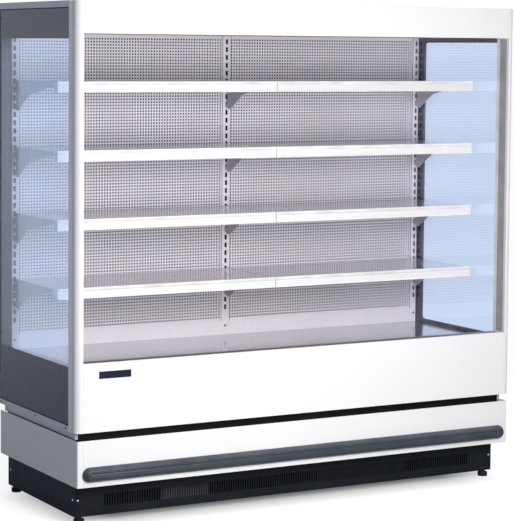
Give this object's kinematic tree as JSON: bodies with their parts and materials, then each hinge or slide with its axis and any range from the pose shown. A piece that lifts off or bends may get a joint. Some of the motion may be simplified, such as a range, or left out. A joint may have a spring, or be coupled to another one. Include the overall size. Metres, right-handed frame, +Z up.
{
  "type": "open multideck display fridge",
  "caption": "Open-fronted refrigerated shelving cabinet with glazed end walls, lift-off shelves, and its cooling machinery in a vented base.",
  "frame": {"origin": "on the floor under the middle of the whole box", "axes": "+X to the right seen from the front, +Y to the back, +Z up"},
  "size_m": [1.9494, 0.77, 1.93],
  "materials": {
    "white_paint": "white stove-enamel paint, satin",
    "frame_paint": "white-grey paint, satin",
    "dark_base_paint": "blue-black powder coat, satin",
    "base_steel": "dark painted steel",
    "bumper_plastic": "slate grey extruded plastic",
    "foot_plastic": "black plastic over zinc stud",
    "glass": "clear double glazing with a cool tint",
    "glass_border": "dark slate border",
    "liner_steel": "light grey painted steel",
    "deck_steel": "bright stainless steel",
    "grille_plastic": "grey louvred grille",
    "canopy_plastic": "white air-straightening honeycomb",
    "galvanised": "galvanised sheet steel",
    "bracket_paint": "grey powder coat",
    "shelf_paint": "white painted shelf with white ticket rail",
    "coil_aluminium": "aluminium fins",
    "pipe_copper": "copper tube",
    "black_paint": "black paint",
    "fan_plastic": "black moulded fan",
    "box_plastic": "grey moulded box",
    "screw_steel": "zinc-plated screws",
    "plate_blue": "blank dark blue plate"
  },
  "bodies": {
    "cabinet": {"air_honeycomb": "canopy_plastic", "back_panel_left": "liner_steel", "back_panel_right": "liner_steel", "base_frame": "base_steel", "bumper_rail": "bumper_plastic", "canopy_soffit": "liner_steel", "compressor": "black_paint", "condenser_coil": "coil_aluminium", "condenser_shroud": "galvanised", "cover_screws": "screw_steel", "deck_support_rail": "galvanised", "drain_tray": "box_plastic", "electrical_box": "box_plastic", "end_border_left": "glass_border", "end_border_right": "glass_border", "end_frame_left": "frame_paint", "end_frame_right": "frame_paint", "end_glass_left": "glass", "end_glass_right": "glass", "end_post_left": "white_paint", "end_post_right": "white_paint", "evaporator_coil": "coil_aluminium", "evaporator_motors": "black_paint", "fan_plate": "galvanised", "fascia": "white_paint", "front_panel": "white_paint", "kick_plate_front": "dark_base_paint", "kick_plate_left": "dark_base_paint", "kick_plate_right": "dark_base_paint", "lower_cover_left": "white_paint", "lower_cover_right": "white_paint", "lower_front_cover": "white_paint", "name_plate": "plate_blue", "rear_wall": "frame_paint", "refrigerant_pipes": "pipe_copper", "roof_body": "frame_paint", "shelf_brackets": "bracket_paint", "tank_floor": "white_paint", "tank_front_wall": "liner_steel", "upright_centre": "liner_steel", "upright_left": "liner_steel", "upright_right": "liner_steel"},
    "condenser_fan": {"condenser_fan": "fan_plastic"},
    "deck_panel_left": {"deck_panel_left": "deck_steel"},
    "deck_panel_right": {"deck_panel_right": "deck_steel"},
    "evaporator_fan_left": {"evaporator_fan_left": "fan_plastic"},
    "evaporator_fan_right": {"evaporator_fan_right": "fan_plastic"},
    "foot_front_left": {"foot_front_left": "foot_plastic"},
    "foot_front_right": {"foot_front_right": "foot_plastic"},
    "foot_rear_left": {"foot_rear_left": "foot_plastic"},
    "foot_rear_right": {"foot_rear_right": "foot_plastic"},
    "return_grille": {"return_grille": "grille_plastic"},
    "shelf_left_1": {"shelf_left_1": "shelf_paint"},
    "shelf_left_2": {"shelf_left_2": "shelf_paint"},
    "shelf_left_3": {"shelf_left_3": "shelf_paint"},
    "shelf_left_4": {"shelf_left_4": "shelf_paint"},
    "shelf_right_1": {"shelf_right_1": "shelf_paint"},
    "shelf_right_2": {"shelf_right_2": "shelf_paint"},
    "shelf_right_3": {"shelf_right_3": "shelf_paint"},
    "shelf_right_4": {"shelf_right_4": "shelf_paint"}
  },
  "joints": [
    {"name": "condenser_fan_spin", "type": "hinge", "parent": "cabinet", "child": "condenser_fan", "pos_m": [0.33, -0.15, 0.167], "axis": [0, 1, 0], "continuous": true},
    {"name": "deck_panel_left_lift", "type": "slide", "parent": "cabinet", "child": "deck_panel_left", "axis": [0, 0, 1], "range_m": [0, 0.15]},
    {"name": "deck_panel_right_lift", "type": "slide", "parent": "cabinet", "child": "deck_panel_right", "axis": [0, 0, 1], "range_m": [0, 0.15]},
    {"name": "evaporator_fan_left_spin", "type": "hinge", "parent": "cabinet", "child": "evaporator_fan_left", "pos_m": [-0.46875, -0.167, 0.48625], "axis": [0, 1, 0], "continuous": true},
    {"name": "evaporator_fan_right_spin", "type": "hinge", "parent": "cabinet", "child": "evaporator_fan_right", "pos_m": [0.46875, -0.167, 0.48625], "axis": [0, 1, 0], "continuous": true},
    {"name": "foot_front_left_turn", "type": "hinge", "parent": "cabinet", "child": "foot_front_left", "pos_m": [-0.915, -0.266, 0], "axis": [0, 0, 1], "continuous": true},
    {"name": "foot_front_right_turn", "type": "hinge", "parent": "cabinet", "child": "foot_front_right", "pos_m": [0.915, -0.266, 0], "axis": [0, 0, 1], "continuous": true},
    {"name": "foot_rear_left_turn", "type": "hinge", "parent": "cabinet", "child": "foot_rear_left", "pos_m": [-0.915, 0.335, 0], "axis": [0, 0, 1], "continuous": true},
    {"name": "foot_rear_right_turn", "type": "hinge", "parent": "cabinet", "child": "foot_rear_right", "pos_m": [0.915, 0.335, 0], "axis": [0, 0, 1], "continuous": true},
    {"name": "return_grille_lift", "type": "slide", "parent": "cabinet", "child": "return_grille", "axis": [0, 0, 1], "range_m": [0, 0.15]},
    {"name": "shelf_left_1_lift", "type": "slide", "parent": "cabinet", "child": "shelf_left_1", "axis": [0, 0, 1], "range_m": [0, 0.1]},
    {"name": "shelf_left_2_lift", "type": "slide", "parent": "cabinet", "child": "shelf_left_2", "axis": [0, 0, 1], "range_m": [0, 0.1]},
    {"name": "shelf_left_3_lift", "type": "slide", "parent": "cabinet", "child": "shelf_left_3", "axis": [0, 0, 1], "range_m": [0, 0.1]},
    {"name": "shelf_left_4_lift", "type": "slide", "parent": "cabinet", "child": "shelf_left_4", "axis": [0, 0, 1], "range_m": [0, 0.1]},
    {"name": "shelf_right_1_lift", "type": "slide", "parent": "cabinet", "child": "shelf_right_1", "axis": [0, 0, 1], "range_m": [0, 0.1]},
    {"name": "shelf_right_2_lift", "type": "slide", "parent": "cabinet", "child": "shelf_right_2", "axis": [0, 0, 1], "range_m": [0, 0.1]},
    {"name": "shelf_right_3_lift", "type": "slide", "parent": "cabinet", "child": "shelf_right_3", "axis": [0, 0, 1], "range_m": [0, 0.1]},
    {"name": "shelf_right_4_lift", "type": "slide", "parent": "cabinet", "child": "shelf_right_4", "axis": [0, 0, 1], "range_m": [0, 0.1]}
  ]
}
